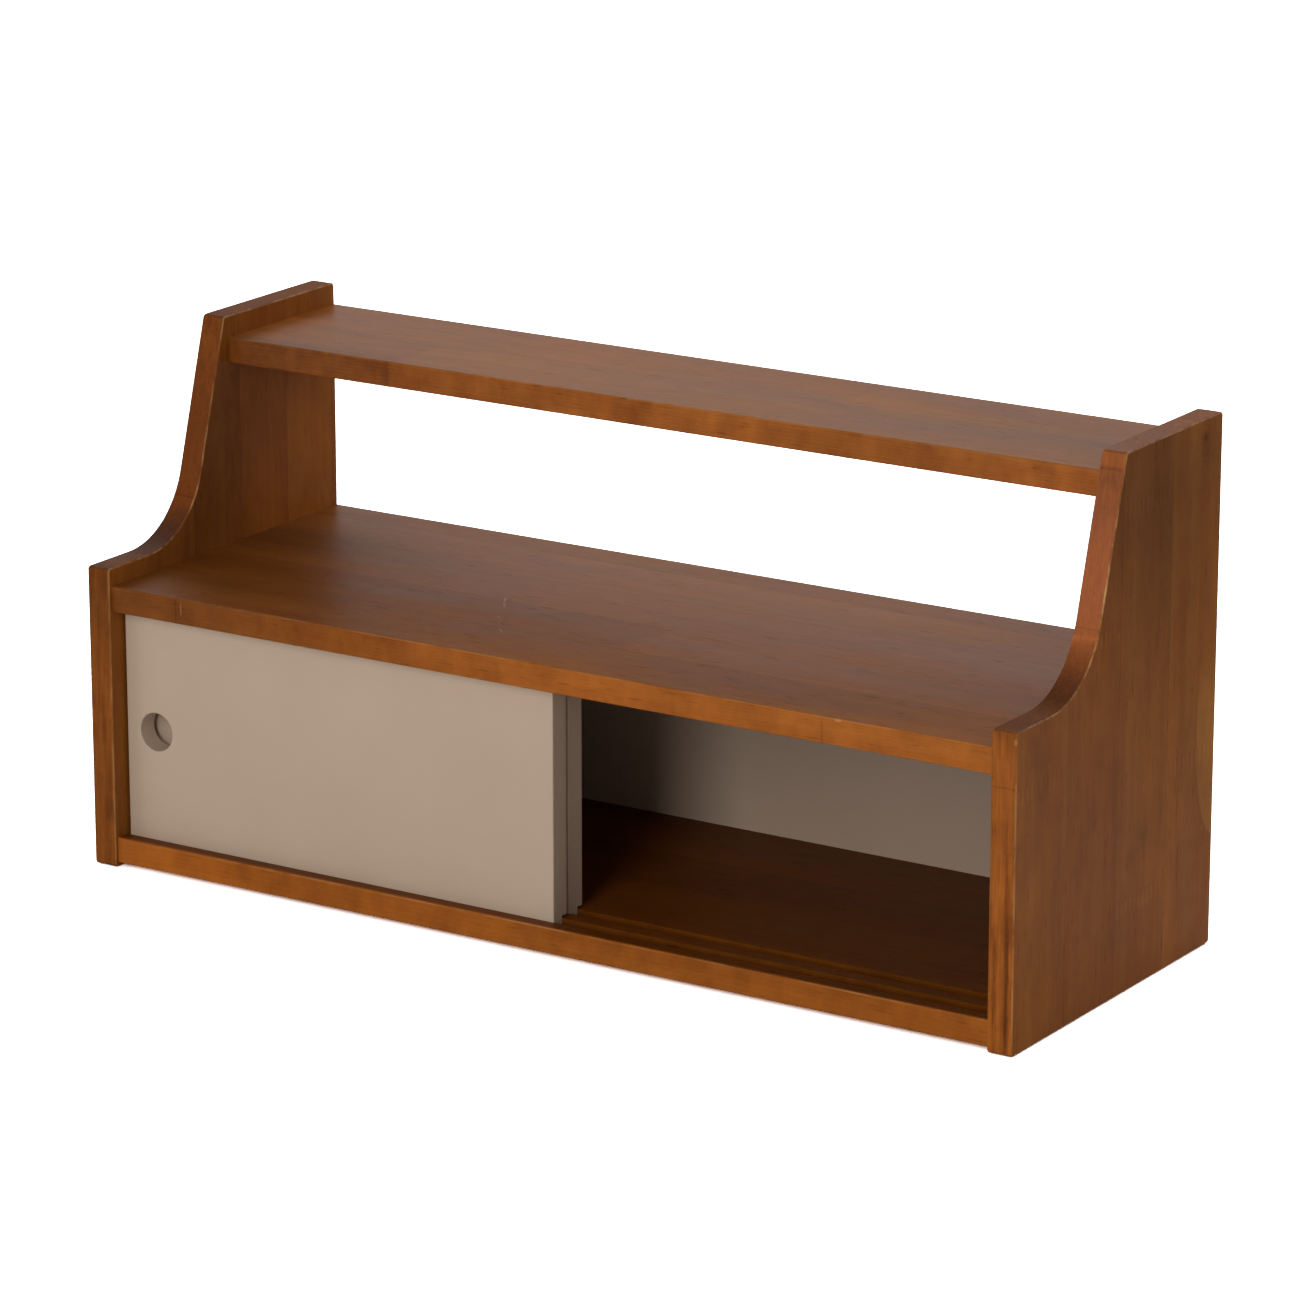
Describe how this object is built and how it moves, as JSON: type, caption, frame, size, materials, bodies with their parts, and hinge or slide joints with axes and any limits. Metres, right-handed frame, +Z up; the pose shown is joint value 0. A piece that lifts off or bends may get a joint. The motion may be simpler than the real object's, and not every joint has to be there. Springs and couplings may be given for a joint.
{
  "type": "wall cabinet with sliding doors",
  "caption": "Stained wooden wall cabinet: painted doors slide in grooves below, an open shelf bay above between side boards cut back in a round throat.",
  "frame": {"origin": "middle of the bounding box's bottom face, on the plane of the side boards' lower edges", "axes": "+X to the right seen from the front, -Y out of the front where the doors are, +Z up"},
  "size_m": [0.8, 0.294, 0.4],
  "materials": {
    "stained_pine": "satin lacquer over a warm brown stain, edge-glued staves",
    "painted_board": "satin taupe paint on fibreboard",
    "beech": "raw turned beech",
    "cast_zinc": "bare cast zinc",
    "plated_steel": "zinc-plated steel"
  },
  "bodies": {
    "carcass": {"left_side_panel": "stained_pine", "right_side_panel": "stained_pine", "top_shelf": "stained_pine", "middle_shelf": "stained_pine", "bottom_shelf": "stained_pine", "back_panel": "painted_board", "top_shelf_dowels": "beech", "top_shelf_cam_bolts": "plated_steel", "top_shelf_cam_locks": "cast_zinc", "middle_shelf_dowels": "beech", "middle_shelf_cam_bolts": "plated_steel", "middle_shelf_cam_locks": "cast_zinc", "bottom_shelf_dowels": "beech", "bottom_shelf_cam_bolts": "plated_steel", "bottom_shelf_cam_locks": "cast_zinc", "left_hanger_plate": "plated_steel", "left_hanger_screws": "plated_steel", "right_hanger_plate": "plated_steel", "right_hanger_screws": "plated_steel"},
    "front_door": {"front_door": "painted_board"},
    "rear_door": {"rear_door": "painted_board"}
  },
  "joints": [
    {"name": "front_door_slide", "type": "slide", "parent": "carcass", "child": "front_door", "axis": [1, 0, 0], "range_m": [-0.002, 0.3702]},
    {"name": "rear_door_slide", "type": "slide", "parent": "carcass", "child": "rear_door", "axis": [1, 0, 0], "range_m": [0, 0.3722]}
  ]
}
